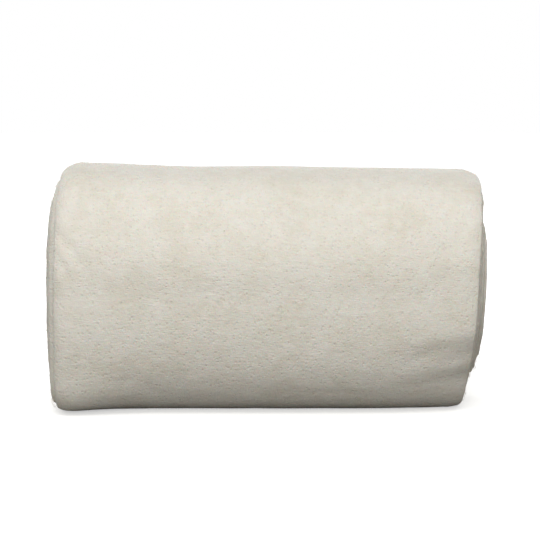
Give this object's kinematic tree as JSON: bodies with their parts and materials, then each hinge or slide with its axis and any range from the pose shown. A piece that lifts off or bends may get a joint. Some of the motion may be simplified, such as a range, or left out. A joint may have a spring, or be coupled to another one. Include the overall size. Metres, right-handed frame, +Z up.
{
  "type": "roll of quilt batting",
  "caption": "Soft oval roll of natural cotton quilt batting, folded in layers and wound up, with spiral ends, a loose end low on the back and a small flat underside.",
  "frame": {"origin": "on the surface that the roll lies on, in its flat underside, under the middle of the roll", "axes": "+X along the roll to its right end, +Y from the plain front to the back, +Z up"},
  "size_m": [0.3892, 0.1984, 0.217],
  "materials": {
    "cotton_batting": "matt, fibrous, needle-punched"
  },
  "bodies": {
    "root": {"batting_roll": "cotton_batting"}
  },
  "joints": []
}
